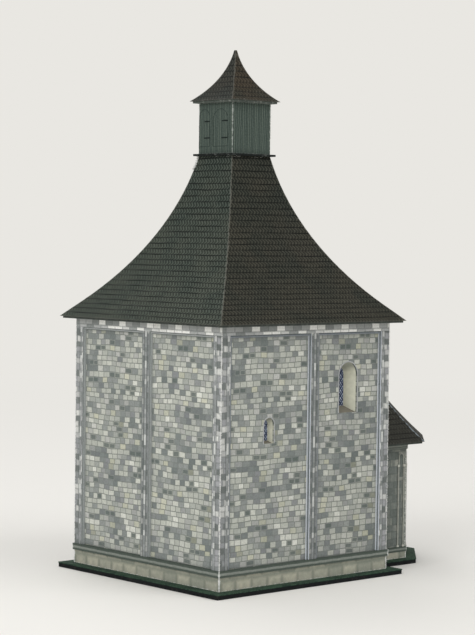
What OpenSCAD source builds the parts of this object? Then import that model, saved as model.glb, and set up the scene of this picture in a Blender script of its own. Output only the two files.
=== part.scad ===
// A small village church made of printed card on a card base board.
// Sizes are millimetres of the card model itself. +X is east, +Y is north, +Z is up.
// The origin is the middle of the nave, on the underside of the base board.

/* [Base] */
// Thickness of the base board
board_t = 1.0; // [0.8:0.1:3]
// Thickness of the printed grass sheet on the board
grass_t = 0.25; // [0.2:0.05:0.6]
// Strip of grass that shows round the walls
grass_margin = 2.9; // [1.5:0.1:8]
// How far the board stops short of the grass sheet's edge
board_inset = 0.1; // [0:0.05:0.4]

/* [Nave walls] */
// Width of the square nave over its corner strips
nave_w = 56; // [46:1:70]
// Height of the nave walls from grass to roof plate
wall_h = 62.15; // [50:0.5:80]
// Thickness of the wall sheets
sheet_t = 0.5; // [0.4:0.05:1]
// Thickness of the raised strips on the sheets
strip_t = 0.7; // [0.4:0.05:1.2]
// Width of the raised corner strips
corner_w = 2.8; // [2:0.1:4]
// Width of the raised middle strips
middle_w = 2.4; // [1.6:0.1:4]
// How far the middle strip of the long fields sits east of the middle
middle_east = 2.2; // [-4:0.1:4]
// Height of the raised band below the eaves
band_h = 2.1; // [1.4:0.1:5]
// Width of the lower step along the inner edge of the strips
step_w = 0.6; // [0.3:0.05:1]
// Thickness of that lower step
step_t = 0.35; // [0.2:0.05:0.5]
// Height of the nave plinth
plinth_h = 3.3; // [2:0.1:6]
// Height of the moulding on the nave plinth
moulding_h = 1.6; // [0.8:0.1:3]
// How far the mouldings stand proud
moulding_out = 0.35; // [0.2:0.05:0.8]

/* [Windows] */
// Width of the tall windows at the face
window_w = 6.25; // [4:0.05:8]
// Height of the tall windows at the face
window_h = 12.5; // [9:0.1:16]
// Drop from the roof plate to the heads of the tall windows
window_drop = 9.55; // [6:0.05:14]
// Depth of the tall windows behind the wall sheet
window_depth = 2.9; // [1.5:0.1:5]
// Width of the slit windows at the face
slit_w = 3.2; // [2:0.05:4]
// Height of the slit windows at the face
slit_h = 6.2; // [4:0.1:9]
// Drop from the roof plate to the heads of the slit windows
slit_drop = 22.05; // [14:0.05:30]
// Depth of the slit windows behind the wall sheet
slit_depth = 1.2; // [0.8:0.1:3]
// How much the reveals close in for each unit of depth
splay = 0.5; // [0.1:0.05:0.6]
// Thickness of the reveal card
reveal_t = 0.35; // [0.25:0.05:0.6]
// Thickness of the glazing sheets
glass_t = 0.25; // [0.15:0.05:0.5]
// Width of the lap that glues a glazing sheet on
glass_lap = 0.8; // [0.5:0.1:1.5]

/* [Portal] */
// Clear width of the north portal
portal_w = 6.6; // [5:0.1:9]
// Clear height of the north portal
portal_h = 13.6; // [10:0.1:18]
// Width of the raised strip round the portal
portal_rim = 1.3; // [0.8:0.1:2]
// Thickness of the door leaf
door_t = 0.4; // [0.25:0.05:0.8]
// Lap of the door leaf behind the wall sheet
door_lap = 1.0; // [0.5:0.1:2]

/* [Main roof] */
// Height of the main roof from eaves to lantern floor
roof_h = 40.7; // [30:0.5:55]
// Overhang of the main roof
roof_out = 3.0; // [1.5:0.1:6]
// How much flatter the main roof is at its eaves than a straight line to its top, in degrees
roof_sag = 14.8; // [5:0.1:18]
// Straight run of the main roof above its eaves
roof_flare = 5.7; // [0.5:0.1:9]
// Thickness of the roof card
roof_t = 0.35; // [0.25:0.05:0.8]
// Thickness of the plates that close the roofs below
plate_t = 0.5; // [0.3:0.05:1]
// How far those plates stop short of the eaves
plate_inset = 0.6; // [0.3:0.1:1]

/* [Lantern] */
// Width of the lantern over its boards
lantern_w = 12.7; // [9:0.1:18]
// Height of the lantern walls
lantern_h = 12.7; // [8:0.1:20]
// Thickness of the lantern walls
lantern_t = 0.5; // [0.3:0.05:0.8]
// Thickness of the lantern floor
floor_t = 0.5; // [0.3:0.05:1]
// How far the lantern floor stands out past the lantern walls
floor_out = 1.0; // [0.5:0.1:2]
// Height of the lantern roof
spire_h = 12.9; // [9:0.1:20]
// Overhang of the lantern roof
spire_out = 1.75; // [0.8:0.05:3]
// How much flatter the lantern roof is at its eaves than a straight line to its top, in degrees
spire_sag = 20.7; // [5:0.1:24]
// Half width of the blunt tip of the lantern roof
spire_tip = 0.25; // [0.2:0.05:0.5]

/* [Apse] */
// Clear strip between the apse roof's eaves and the corner strips of the nave
apse_clear = 2.3; // [0.5:0.1:6]
// Straight bay between the nave and the turn of the apse
apse_bay = 9.5; // [4:0.1:15]
// Height of the apse walls from grass to roof plate
apse_h = 30.1; // [22:0.1:33]
// Thickness of the apse wall sheet
apse_t = 0.7; // [0.5:0.05:1.2]
// Height of the apse plinth
apse_plinth_h = 1.7; // [1:0.1:4]
// How far the apse plinth stands out from its wall
apse_plinth_out = 0.2; // [0.1:0.05:0.3]
// Height of the moulding on the apse plinth
apse_moulding_h = 1.3; // [0.6:0.1:2.5]
// Height of the apse cornice
cornice_h = 1.6; // [1:0.1:3]
// Overhang of the apse roof
apse_out = 4.6; // [3:0.1:6]
// Gap between the top of the apse roof and the roof plate of the nave over it
apse_gap = 3.35; // [0.5:0.05:6]
// How much flatter the apse roof is at its eaves than a straight line to its top, in degrees
apse_sag = 9.3; // [3:0.1:14]
// Half width of the blunt ridge of the apse roof
ridge_half = 0.3; // [0.2:0.05:0.5]

/* [Hidden] */

SOUTH = 0;
EAST = 90;
NORTH = 180;
WEST = 270;
STEPS = 18;                                 // straight pieces in the curve of a roof
RUN_ON = 2;                                 // how far a curve runs on before it is cut, degrees
OCTAGON = 45;                               // turn between two sides of the apse, degrees
FAR = 400;                                  // reach of the cutting shapes
ROUND = 48;                                 // sides of the arches
SLIVER = 0.01;                              // thickness of the outlines that a hull joins

grass_z = board_t + grass_t;
face = nave_w / 2;                          // face of the raised strips
field = face - strip_t;                     // face of the wall sheets
inside = field - sheet_t;                   // back of the wall sheets
plate_z = grass_z + wall_h;
eaves_z = plate_z + plate_t;
floor_z = eaves_z + roof_h;
lantern_z = floor_z + floor_t;
ceiling_z = lantern_z + lantern_h;
spire_z = ceiling_z + plate_t;
top_z = spire_z + spire_h;
moulding_z = grass_z + plinth_h;
frame_z = moulding_z + moulding_h;
window_z = plate_z - window_drop - window_h;
slit_z = plate_z - slit_drop - slit_h;
lantern_half = lantern_w / 2;
apse_half = face - corner_w - apse_clear - apse_out;
apse_plate_z = grass_z + apse_h;
apse_eaves_z = apse_plate_z + plate_t;
apse_top_z = plate_z - apse_gap;
apse_moulding_z = grass_z + apse_plinth_h;
apse_wall_z = apse_moulding_z + apse_moulding_h;
cornice_z = apse_plate_z - cornice_h;
west_field_u = (middle_east - middle_w / 2 - face + corner_w) / 2;
east_field_u = (middle_east + middle_w / 2 + face - corner_w) / 2;
HALF_TURN = tan(OCTAGON / 2);

// ---- Shared shapes -------------------------------------------------------

// What faces one way from the middle, mitred at the corners; out is -Y before the turn.
module side(turn) {
    rotate([0, 0, turn])
        intersection() {
            children();
            linear_extrude(height = FAR)
                polygon([[0, 0], [-FAR, -FAR], [FAR, -FAR]]);
        }
}

// A flat outline stood up facing out, its front at distance front, t thick behind.
module upright(front, t) {
    translate([0, t - front, 0])
        rotate([90, 0, 0])
            linear_extrude(height = t)
                children();
}

// A rectangle from u0 to u1 along the wall and z0 to z1 up it.
module rect(u0, u1, z0, z1) {
    translate([u0, z0])
        square([u1 - u0, z1 - z0]);
}

// A round-arched opening, w wide and h high, with its sill at z.
module arched(u, z, w, h) {
    translate([u, z + h - w / 2])
        circle(d = w, $fn = ROUND);
    rect(u - w / 2, u + w / 2, z, z + h - w / 2);
}

// ---- Base ----------------------------------------------------------------

// Outline of the apse at distance r from its middle line, from the nave's middle eastwards.
module apse_outline(r) {
    east = face + apse_bay;
    polygon([
        [0, -r], [east + r * HALF_TURN, -r], [east + r, -r * HALF_TURN],
        [east + r, r * HALF_TURN], [east + r * HALF_TURN, r], [0, r]
    ]);
}

module ground_outline(margin) {
    square(nave_w + 2 * margin, center = true);
    apse_outline(apse_half + margin);
}

module base_board() {
    color("#23262a")
        linear_extrude(height = board_t)
            ground_outline(grass_margin - board_inset);
}

module grass_sheet() {
    color("#3f5744")
        translate([0, 0, board_t])
            linear_extrude(height = grass_t)
                ground_outline(grass_margin);
}

// ---- Nave walls ----------------------------------------------------------

// Both windows of a long side, grown by g all round.
module window_holes(g = 0) {
    arched(east_field_u, window_z - g, window_w + 2 * g, window_h + 2 * g);
    arched(west_field_u, slit_z - g, slit_w + 2 * g, slit_h + 2 * g);
}

// The portal's opening, grown by g at the sides and top.
module portal_hole(g = 0) {
    arched(west_field_u, grass_z, portal_w + 2 * g, portal_h + g);
}

module wall_sheet() {
    upright(field, sheet_t)
        difference() {
            rect(-face, face, grass_z, plate_z);
            children();
        }
}

module west_wall() {
    color("#8d918c") side(WEST) wall_sheet();
}

module south_wall() {
    color("#8d918c") side(SOUTH) wall_sheet() window_holes();
}

module east_wall() {
    color("#8d918c") side(EAST) wall_sheet();
}

// The north side mirrors the south side and adds the portal.
module north_side() {
    mirror([0, 1, 0]) side(SOUTH) children();
}

module north_wall() {
    color("#8d918c")
        north_side()
            wall_sheet() {
                window_holes();
                portal_hole();
            }
}

// Raised strips round the fields, with a lower step along their inner edges.
module strips(middles, t, w) {
    upright(field + t, t)
        difference() {
            rect(-face, face, frame_z, plate_z);
            for (i = [0 : len(middles)]) {
                left = i == 0 ? -face + corner_w : middles[i - 1] + middle_w / 2;
                right = i == len(middles) ? face - corner_w : middles[i] - middle_w / 2;
                rect(left + w, right - w, 0, plate_z - band_h - w);
            }
        }
}

module frame(middles) {
    strips(middles, strip_t, 0);
    strips(middles, step_t, step_w);
}

module west_frame() {
    color("#a2a59c") side(WEST) frame([0]);
}

module south_frame() {
    color("#a2a59c") side(SOUTH) frame([middle_east]);
}

module east_frame() {
    color("#a2a59c") side(EAST) frame([]);
}

module north_frame() {
    color("#a2a59c") north_side() frame([middle_east]);
}

// A level strip along the foot of one side, out beyond the strips by out.
module foot(z0, z1, out) {
    upright(face + out, strip_t + out)
        difference() {
            rect(-FAR, FAR, z0, z1);
            children();
        }
}

// The apse stands between the two halves of the nave's east foot.
module apse_foot(out) {
    rect(-apse_half - out, apse_half + out, 0, FAR);
}

module west_plinth() {
    color("#9a9d93") side(WEST) foot(grass_z, moulding_z, 0);
}

module south_plinth() {
    color("#9a9d93") side(SOUTH) foot(grass_z, moulding_z, 0);
}

module east_plinth() {
    color("#9a9d93") side(EAST) foot(grass_z, moulding_z, 0) apse_foot(moulding_out);
}

module north_plinth() {
    color("#9a9d93") north_side() foot(grass_z, moulding_z, 0) portal_hole(portal_rim);
}

module west_moulding() {
    color("#59635b") side(WEST) foot(moulding_z, frame_z, moulding_out);
}

module south_moulding() {
    color("#59635b") side(SOUTH) foot(moulding_z, frame_z, moulding_out);
}

module east_moulding() {
    color("#59635b") side(EAST) foot(moulding_z, frame_z, moulding_out) apse_foot(moulding_out);
}

module north_moulding() {
    color("#59635b") north_side() foot(moulding_z, frame_z, moulding_out) portal_hole(portal_rim);
}

// ---- Windows and portal --------------------------------------------------

// A space that narrows from one arched opening to a smaller one, depth behind the sheet.
module narrowing(u, z, w, h, depth, g) {
    close = splay * depth;
    hull() {
        upright(inside, SLIVER)
            arched(u, z - g, w + 2 * g, h + 2 * g);
        upright(inside - depth + SLIVER, SLIVER)
            arched(u, z + close - g, w - 2 * close + 2 * g, h - 2 * close + 2 * g);
    }
}

// The splayed reveal of one window.
module reveal(u, z, w, h, depth) {
    difference() {
        narrowing(u, z, w, h, depth, reveal_t);
        narrowing(u, z, w, h, depth, 0);
    }
}

module tall_reveal() {
    reveal(east_field_u, window_z, window_w, window_h, window_depth);
}

module slit_reveal() {
    reveal(west_field_u, slit_z, slit_w, slit_h, slit_depth);
}

module pane(u, z, w, h, depth) {
    close = splay * depth;
    grow = glass_lap - close;
    upright(inside - depth, glass_t)
        rect(u - w / 2 - grow, u + w / 2 + grow, z - grow, z + h + grow);
}

module panes() {
    pane(east_field_u, window_z, window_w, window_h, window_depth);
    pane(west_field_u, slit_z, slit_w, slit_h, slit_depth);
}

module south_window_reveal() {
    color("#c8c8ae") side(SOUTH) tall_reveal();
}

module north_window_reveal() {
    color("#c8c8ae") north_side() tall_reveal();
}

module south_slit_reveal() {
    color("#c8c8ae") side(SOUTH) slit_reveal();
}

module north_slit_reveal() {
    color("#c8c8ae") north_side() slit_reveal();
}

module south_glazing() {
    color("#27313f") side(SOUTH) panes();
}

module north_glazing() {
    color("#27313f") north_side() panes();
}

// The raised strip round the portal lies on the wall sheet, like the other strips.
module portal_rim() {
    color("#a2a59c")
        north_side()
            upright(field + strip_t, strip_t)
                difference() {
                    portal_hole(portal_rim);
                    portal_hole();
                }
}

module portal_door() {
    color("#4a3b2c")
        north_side()
            upright(inside, door_t)
                portal_hole(door_lap);
}

// ---- Curved roofs --------------------------------------------------------

// Pitch at the eaves of a roof that runs in by run and up by rise.
function eaves_pitch(run, rise, sag) = atan2(rise, run) - sag;

// A roof's curve as [distance out, height]: straight from the eaves, then one arc to the top.
function curve(foot_r, foot_z, top_r, top_z, sag, flare) =
    let (
        pitch = eaves_pitch(foot_r - top_r, top_z - foot_z, sag),
        up = [-cos(pitch), sin(pitch)],
        out = [sin(pitch), cos(pitch)],
        bend = [foot_r, foot_z] + flare * up,
        chord = [top_r, top_z] - bend,
        radius = (chord * chord) / (2 * (out * chord)),
        centre = bend + radius * out,
        last = atan2(centre[0] - top_r, centre[1] - top_z)
    )
    concat(
        [bend - (flare + roof_t) * up],
        [for (i = [0 : STEPS])
            let (a = pitch + (last - pitch) * i / STEPS)
            centre - radius * [sin(a), cos(a)]],
        [centre - radius * [sin(last + RUN_ON), cos(last + RUN_ON)]]
    );

// The same curve for the underside of the card: set in and down.
function underside(points, pitch) =
    let (set_in = roof_t / (sin(pitch) + cos(pitch)))
    [for (p = points) p - [set_in, set_in]];

// The space under a curve, from its foot back past the middle.
module under(points, z0, z1) {
    last = points[len(points) - 1];
    intersection() {
        polygon(concat([[-FAR, points[0][1]]], points, [[-FAR, last[1]]]));
        rect(-FAR, FAR, z0, z1);
    }
}

// Cross-section of the roof card.
module card_section(points, pitch, z0, z1) {
    difference() {
        under(points, z0, z1);
        under(underside(points, pitch), z0, z1);
    }
}

// A slope that faces out and is still uncut at its hips.
module slope() {
    rotate([90, 0, -90])
        translate([0, 0, -FAR / 2])
            linear_extrude(height = FAR)
                children();
}

// One slope of a pyramid roof.
module pyramid_slope(turn, foot_r, foot_z, top_r, top_z, sag, flare) {
    side(turn)
        slope()
            card_section(curve(foot_r, foot_z, top_r, top_z, sag, flare),
                eaves_pitch(foot_r - top_r, top_z - foot_z, sag), foot_z, top_z);
}

module main_slope(turn) {
    pyramid_slope(turn, face + roof_out, eaves_z, lantern_half, floor_z, roof_sag, roof_flare);
}

module spire_slope(turn) {
    pyramid_slope(turn, lantern_half + spire_out, spire_z, spire_tip, top_z, spire_sag, 0);
}

module roof_plate() {
    color("#4a463d")
        translate([0, 0, plate_z])
            linear_extrude(height = plate_t)
                square(nave_w + 2 * (roof_out - plate_inset), center = true);
}

module west_roof() {
    color("#3a413e") main_slope(WEST);
}

module south_roof() {
    color("#3c3830") main_slope(SOUTH);
}

module east_roof() {
    color("#3c3830") main_slope(EAST);
}

module north_roof() {
    color("#3c3830") main_slope(NORTH);
}

// ---- Lantern -------------------------------------------------------------

module lantern_floor() {
    color("#2c2a26")
        translate([0, 0, floor_z])
            linear_extrude(height = floor_t)
                square(lantern_w + 2 * floor_out, center = true);
}

module lantern_walls() {
    color("#4f5a52")
        translate([0, 0, lantern_z])
            linear_extrude(height = lantern_h)
                difference() {
                    square(lantern_w, center = true);
                    square(lantern_w - 2 * lantern_t, center = true);
                }
}

module lantern_ceiling() {
    color("#4a463d")
        translate([0, 0, ceiling_z])
            linear_extrude(height = plate_t)
                square(lantern_w + 2 * (spire_out - plate_inset), center = true);
}

module west_spire() {
    color("#3a413e") spire_slope(WEST);
}

module south_spire() {
    color("#3c3830") spire_slope(SOUTH);
}

module east_spire() {
    color("#3c3830") spire_slope(EAST);
}

module north_spire() {
    color("#3c3830") spire_slope(NORTH);
}

// ---- Apse ----------------------------------------------------------------

// A band that follows the apse wall, r outside and t thick, from the nave's east sheet outwards.
module apse_band(r, t, z0, z1) {
    translate([0, 0, z0])
        linear_extrude(height = z1 - z0)
            difference() {
                apse_outline(r);
                apse_outline(r - t);
                square([2 * field, FAR], center = true);
            }
}

module apse_wall() {
    color("#8d918c") apse_band(apse_half, apse_t, grass_z, apse_plate_z);
}

module apse_plinth() {
    color("#9a9d93")
        apse_band(apse_half + apse_plinth_out, apse_plinth_out, grass_z, apse_moulding_z);
}

module apse_moulding() {
    color("#59635b") apse_band(apse_half + moulding_out, moulding_out, apse_moulding_z, apse_wall_z);
}

module apse_cornice() {
    color("#6a7068") apse_band(apse_half + moulding_out, moulding_out, cornice_z, apse_plate_z);
}

module apse_roof_plate() {
    color("#4a463d")
        translate([0, 0, apse_plate_z])
            linear_extrude(height = plate_t)
                difference() {
                    apse_outline(apse_half + apse_out - plate_inset);
                    square([2 * field, FAR], center = true);
                }
}

// The space under the apse roof, which turns about the apse's own middle.
module apse_space(points, z0, z1) {
    reach = face + apse_bay - field;
    intersection() {
        intersection_for (turn = [SOUTH : OCTAGON : NORTH])
            rotate([0, 0, turn]) slope() under(points, z0, z1);
        translate([-reach, -FAR / 2, 0])
            cube([FAR, FAR, FAR]);
    }
}

module apse_roof() {
    foot_r = apse_half + apse_out;
    pitch = eaves_pitch(foot_r - ridge_half, apse_top_z - apse_eaves_z, apse_sag);
    points = curve(foot_r, apse_eaves_z, ridge_half, apse_top_z, apse_sag, 0);
    color("#3c3830")
        translate([face + apse_bay, 0, 0])
            difference() {
                apse_space(points, apse_eaves_z, apse_top_z);
                apse_space(underside(points, pitch), apse_eaves_z, apse_top_z);
            }
}

base_board();
grass_sheet();
west_wall();
south_wall();
east_wall();
north_wall();
west_frame();
south_frame();
east_frame();
north_frame();
west_plinth();
south_plinth();
east_plinth();
north_plinth();
west_moulding();
south_moulding();
east_moulding();
north_moulding();
south_window_reveal();
north_window_reveal();
south_slit_reveal();
north_slit_reveal();
south_glazing();
north_glazing();
portal_rim();
portal_door();
roof_plate();
west_roof();
south_roof();
east_roof();
north_roof();
lantern_floor();
lantern_walls();
lantern_ceiling();
west_spire();
south_spire();
east_spire();
north_spire();
apse_wall();
apse_plinth();
apse_moulding();
apse_cornice();
apse_roof_plate();
apse_roof();
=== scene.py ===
"""Looks of a small card model church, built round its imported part. Lengths are in mm; MM makes metres."""
import bpy
import math
from mathutils import Matrix, Vector


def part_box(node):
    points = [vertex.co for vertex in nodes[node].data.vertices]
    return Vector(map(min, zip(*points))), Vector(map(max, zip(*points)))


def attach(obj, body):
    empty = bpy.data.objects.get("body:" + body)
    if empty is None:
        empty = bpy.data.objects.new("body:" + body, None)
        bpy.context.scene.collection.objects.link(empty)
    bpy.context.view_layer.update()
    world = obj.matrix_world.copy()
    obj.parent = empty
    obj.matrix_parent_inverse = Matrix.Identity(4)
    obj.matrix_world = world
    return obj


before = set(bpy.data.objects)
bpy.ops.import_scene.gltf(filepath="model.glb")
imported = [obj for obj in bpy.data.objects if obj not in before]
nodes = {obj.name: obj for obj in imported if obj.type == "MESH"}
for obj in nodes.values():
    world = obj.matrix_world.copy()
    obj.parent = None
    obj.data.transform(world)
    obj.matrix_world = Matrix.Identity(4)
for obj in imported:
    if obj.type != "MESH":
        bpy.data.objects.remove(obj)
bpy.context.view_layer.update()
MM = 0.001


def extent(node, axis):
    """Where a CAD node begins and ends along an axis (0 for x, 1 for y, 2 for z), in mm."""
    return [round(corner[axis] / MM, 3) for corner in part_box(node)]


# ---- Sizes of the card sheets, in mm ---------------------------------------

FACE = extent("east_frame", 0)[1]                 # face of the raised strips, from the nave's middle
FIELD = extent("east_wall", 0)[1]                 # face of the wall sheets behind them
GRASS_Z = extent("grass_sheet", 2)[1]             # top of the grass sheet
PLATE_Z = extent("south_wall", 2)[1]              # top of the nave walls
LANTERN = extent("lantern_walls", 0)[1]           # half width of the lantern
LANTERN_FOOT, LANTERN_TOP = extent("lantern_walls", 2)
APSE_FACE = extent("apse_wall", 1)[1]             # face of the apse wall, from the middle of its turn
APSE_X = extent("apse_wall", 0)[1] - APSE_FACE    # that middle, east of the nave's middle
APSE_WALL_FOOT = extent("apse_moulding", 2)[1]    # where the apse wall shows above its moulding
CORNICE_Z = extent("apse_cornice", 2)[0]
WINDOW_X = sum(extent("south_window_reveal", 0)) / 2
SLIT_X = sum(extent("south_slit_reveal", 0)) / 2

CORNER_W = 2.8                  # raised corner strips
MIDDLE_W = 2.4                  # raised middle strips
STEP_W = 0.6                    # lower step along the strips
BAND_H = 2.1                    # raised band below the eaves
MIDDLE_EAST = 2.2               # how far the long sides' middle strip sits east of the middle
BAND_ROW = 1.35                 # taller row of blocks in the band
WINDOW_W, WINDOW_H = 6.25, 12.5
SLIT_W, SLIT_H = 3.2, 6.2
WINDOW_Z = PLATE_Z - 9.55 - WINDOW_H
SLIT_Z = PLATE_Z - 22.05 - SLIT_H
PANE_W, PANE_H = 0.7, 0.95      # one printed lozenge of the leaded glass
COURSE = 1.65                   # one printed course of shingles
SHINGLE_W = 1.05                # one printed shingle: twice as wide as the real print, so that it shows
BOARD_W = 0.58                  # one printed board of the lantern
DOOR_BOARD_W = 1.1
FAR = 9.0                       # further from a fold than its wear reaches

HALF_TURN = math.tan(math.radians(22.5))          # half a side of an octagon, as a share of its reach
SOUTH, EAST, NORTH, WEST = 0, 90, 180, 270        # turns of the south side, in degrees

# ---- Camera ----------------------------------------------------------------

YAW, PITCH, ROLL = math.radians(-41.71), math.radians(2.28), math.radians(0.70)
DISTANCE, ACROSS, HEIGHT = 513.5, 1.29, 64.1      # mm from the camera to the point it looks at
SENSOR_MM, LENS_MM = 36.0, 154.3


def make_camera():
    """A camera a little below the eaves' height, south-west of the nave."""
    ahead = Vector((-math.sin(YAW) * math.cos(PITCH), math.cos(YAW) * math.cos(PITCH), -math.sin(PITCH)))
    level = Vector((math.cos(YAW), math.sin(YAW), 0))
    upright = level.cross(ahead)
    right = math.cos(ROLL) * level + math.sin(ROLL) * upright
    up = math.cos(ROLL) * upright - math.sin(ROLL) * level
    target = level * ACROSS + Vector((0, 0, HEIGHT))
    data = bpy.data.cameras.new("camera")
    data.sensor_fit, data.sensor_width, data.lens = "HORIZONTAL", SENSOR_MM, LENS_MM
    data.clip_start, data.clip_end = 0.01, 20
    camera = bpy.data.objects.new("camera", data)
    turn = Matrix((right, up, -ahead)).transposed()
    camera.matrix_world = Matrix.Translation((target - ahead * DISTANCE) * MM) @ turn.to_4x4()
    bpy.context.scene.collection.objects.link(camera)
    bpy.context.scene.camera = camera


# ---- Nodes -----------------------------------------------------------------

def linear(colour):
    """An sRGB hex colour as linear RGBA."""
    parts = [int(colour[i:i + 2], 16) / 255 for i in (1, 3, 5)]
    return [c / 12.92 if c <= 0.04045 else ((c + 0.055) / 1.055) ** 2.4 for c in parts] + [1.0]


def add(tree, kind, *values, stops=None, **named):
    """Adds a node. Values fill its live sockets in order; lower-case names are settings, capitals sockets."""
    node = tree.nodes.new(kind)
    for name, value in named.items():
        if name[0].islower():
            setattr(node, name, value)
    pairs = list(zip([s for s in node.inputs if s.enabled], values))
    pairs += [(node.inputs[n.replace("_", " ")], v) for n, v in named.items() if n[0].isupper()]
    for socket, value in pairs:
        if isinstance(value, bpy.types.Node):
            value = next(s for s in value.outputs if s.enabled)
        if isinstance(value, bpy.types.NodeSocket):
            tree.links.new(value, socket)
        elif value is not None:
            socket.default_value = linear(value) if isinstance(value, str) else value
    if stops:
        ramp = node.color_ramp
        while len(ramp.elements) < len(stops):
            ramp.elements.new(1.0)
        for element, (place, colour) in zip(ramp.elements, stops):
            element.position, element.color = place, linear(colour)
    return node


MATH, VECTOR, MIX = "ShaderNodeMath", "ShaderNodeVectorMath", "ShaderNodeMix"
VORONOI, NOISE, RANGE = "ShaderNodeTexVoronoi", "ShaderNodeTexNoise", "ShaderNodeMapRange"
COMBINE, RAMP, CHANNELS = "ShaderNodeCombineXYZ", "ShaderNodeValToRGB", "ShaderNodeSeparateColor"


def dress(node_names, material):
    """Puts a material on CAD nodes."""
    for name in node_names:
        for held in nodes[name].material_slots:
            held.material = material


# ---- Materials -------------------------------------------------------------

def card(name, gloss=0.3):
    """Printed card, rough and hardly shining: its material, its tree, and x, y and z in mm."""
    material = bpy.data.materials.new(name)
    material.use_nodes = True
    tree = material.node_tree
    shader = tree.nodes["Principled BSDF"]
    shader.inputs["Roughness"].default_value = 0.85
    shader.inputs["Specular IOR Level"].default_value = gloss
    place = add(tree, "ShaderNodeTexCoord").outputs["Object"]
    scaled = add(tree, VECTOR, place, operation="SCALE", Scale=1 / MM)
    return material, tree, add(tree, "ShaderNodeSeparateXYZ", scaled).outputs


def facing(tree):
    """The level direction that the surface faces, as its X, Y and Z sockets."""
    normal = add(tree, "ShaderNodeNewGeometry").outputs["True Normal"]
    level = add(tree, VECTOR, normal, (1, 1, 0), operation="MULTIPLY")
    return add(tree, "ShaderNodeSeparateXYZ", add(tree, VECTOR, level, operation="NORMALIZE")).outputs


def along(tree, x, y):
    """The level distance along whichever side is looked at, in mm."""
    towards = facing(tree)
    back = add(tree, MATH, y, towards["X"], operation="MULTIPLY")
    return add(tree, MATH, add(tree, MATH, x, towards["Y"], operation="MULTIPLY"), back, operation="SUBTRACT")


def outward(tree, x, y):
    """The level distance towards whichever side is looked at, in mm."""
    towards = facing(tree)
    east = add(tree, MATH, x, towards["X"], operation="MULTIPLY")
    return add(tree, MATH, east, add(tree, MATH, y, towards["Y"], operation="MULTIPLY"), operation="ADD")


def stones(tree, u, z, course, length, seed, uneven=0.4, sway=1.0):
    """Courses of stones: random channels for each stone, mm to its nearest joint, place and middle (u, z)."""
    spot = add(tree, COMBINE, u, z, seed)
    # The courses rise and fall a little along the wall.
    wide = add(tree, NOISE, Vector=spot, Scale=0.1, Detail=0.0)
    tight = add(tree, NOISE, Vector=spot, Scale=0.35, Detail=0.0)
    lifted = add(tree, MATH, wide, 1.1 * sway, z, operation="MULTIPLY_ADD")
    lifted = add(tree, MATH, tight, 0.4 * sway, lifted, operation="MULTIPLY_ADD")
    level = add(tree, MATH, lifted, 1 / course, seed, operation="MULTIPLY_ADD")
    cells = {"Scale": 1.0, "Randomness": uneven, "voronoi_dimensions": "1D"}
    row = add(tree, VORONOI, W=level, **cells)
    row_edge = add(tree, VORONOI, W=level, feature="DISTANCE_TO_EDGE", **cells)
    # Each course starts its stones at a place of its own, and makes them shorter or longer.
    row_own = add(tree, CHANNELS, row.outputs["Color"]).outputs
    per_mm = add(tree, RANGE, row_own["Green"], 0.0, 1.0, 1.15 / length, 0.88 / length)
    shift = add(tree, MATH, row_own["Red"], 89.0, seed, operation="MULTIPLY_ADD")
    run = add(tree, MATH, u, per_mm, shift, operation="MULTIPLY_ADD")
    stone = add(tree, VORONOI, W=run, **cells)
    stone_edge = add(tree, VORONOI, W=run, feature="DISTANCE_TO_EDGE", **cells)
    across = add(tree, MATH, stone_edge, per_mm, operation="DIVIDE")
    above = add(tree, MATH, row_edge, course, operation="MULTIPLY")
    joint = add(tree, MATH, across, above, operation="MINIMUM")
    from_shift = add(tree, MATH, stone.outputs["W"], shift, operation="SUBTRACT")
    centre_u = add(tree, MATH, from_shift, per_mm, operation="DIVIDE")
    centre_z = add(tree, MATH, row.outputs["W"], course, operation="MULTIPLY")
    own = add(tree, CHANNELS, stone.outputs["Color"]).outputs
    return own, joint, spot, (centre_u, centre_z)


def printed(material, colour, spot, scale, amount, level=1.0):
    """The material in a colour times level, unevenly lighter and darker, as ink on card is."""
    tree = material.node_tree
    speck = add(tree, NOISE, Vector=spot, Scale=scale, Detail=3.0)
    speck = add(tree, RANGE, speck, 0.3, 0.7, level * (1 - amount), level * (1 + amount))
    colour = add(tree, VECTOR, colour, speck, operation="MULTIPLY")
    tree.links.new(colour.outputs["Vector"], tree.nodes["Principled BSDF"].inputs["Base Color"])
    return material


def patches(tree, spot, scale, low, high, none=0.0, full=1.0, detail=3.0):
    """Uneven patches: none where the noise is under low, full where it is over high."""
    noise = add(tree, NOISE, Vector=spot, Scale=scale, Detail=detail)
    return add(tree, RANGE, noise, low, high, none, full)


def soft(tree, value, full, none):
    """1 where value is at full, easing to 0 at none."""
    return add(tree, RANGE, value, full, none, 1.0, 0.0, interpolation_type="SMOOTHSTEP")


def tinted(tree, colour, tint, *shares):
    """A colour with a tint over it, as strong as the product of the shares."""
    strength = shares[0]
    for share in shares[1:]:
        strength = add(tree, MATH, strength, share, operation="MULTIPLY")
    return add(tree, MIX, strength, colour, tint, data_type="RGBA")


def least(tree, *values):
    """The smallest of several values."""
    found = values[0]
    for value in values[1:]:
        found = add(tree, MATH, found, value, operation="MINIMUM")
    return found


def beyond(tree, value, middle, half):
    """How far value is from the middle, past half either side."""
    gap = add(tree, MATH, add(tree, MATH, value, middle, operation="SUBTRACT"), operation="ABSOLUTE")
    return add(tree, MATH, gap, half, operation="SUBTRACT")


def strip_edge(tree, level, z, middles):
    """Mm outside the raised strips of a wall; less than nothing on the strips."""
    off_middle = add(tree, MATH, level, operation="ABSOLUTE")
    corner = add(tree, MATH, FACE - CORNER_W, off_middle, operation="SUBTRACT")
    under = add(tree, MATH, PLATE_Z - BAND_H, z, operation="SUBTRACT")
    return least(tree, corner, under, *[beyond(tree, level, m, MIDDLE_W / 2) for m in middles])


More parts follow.
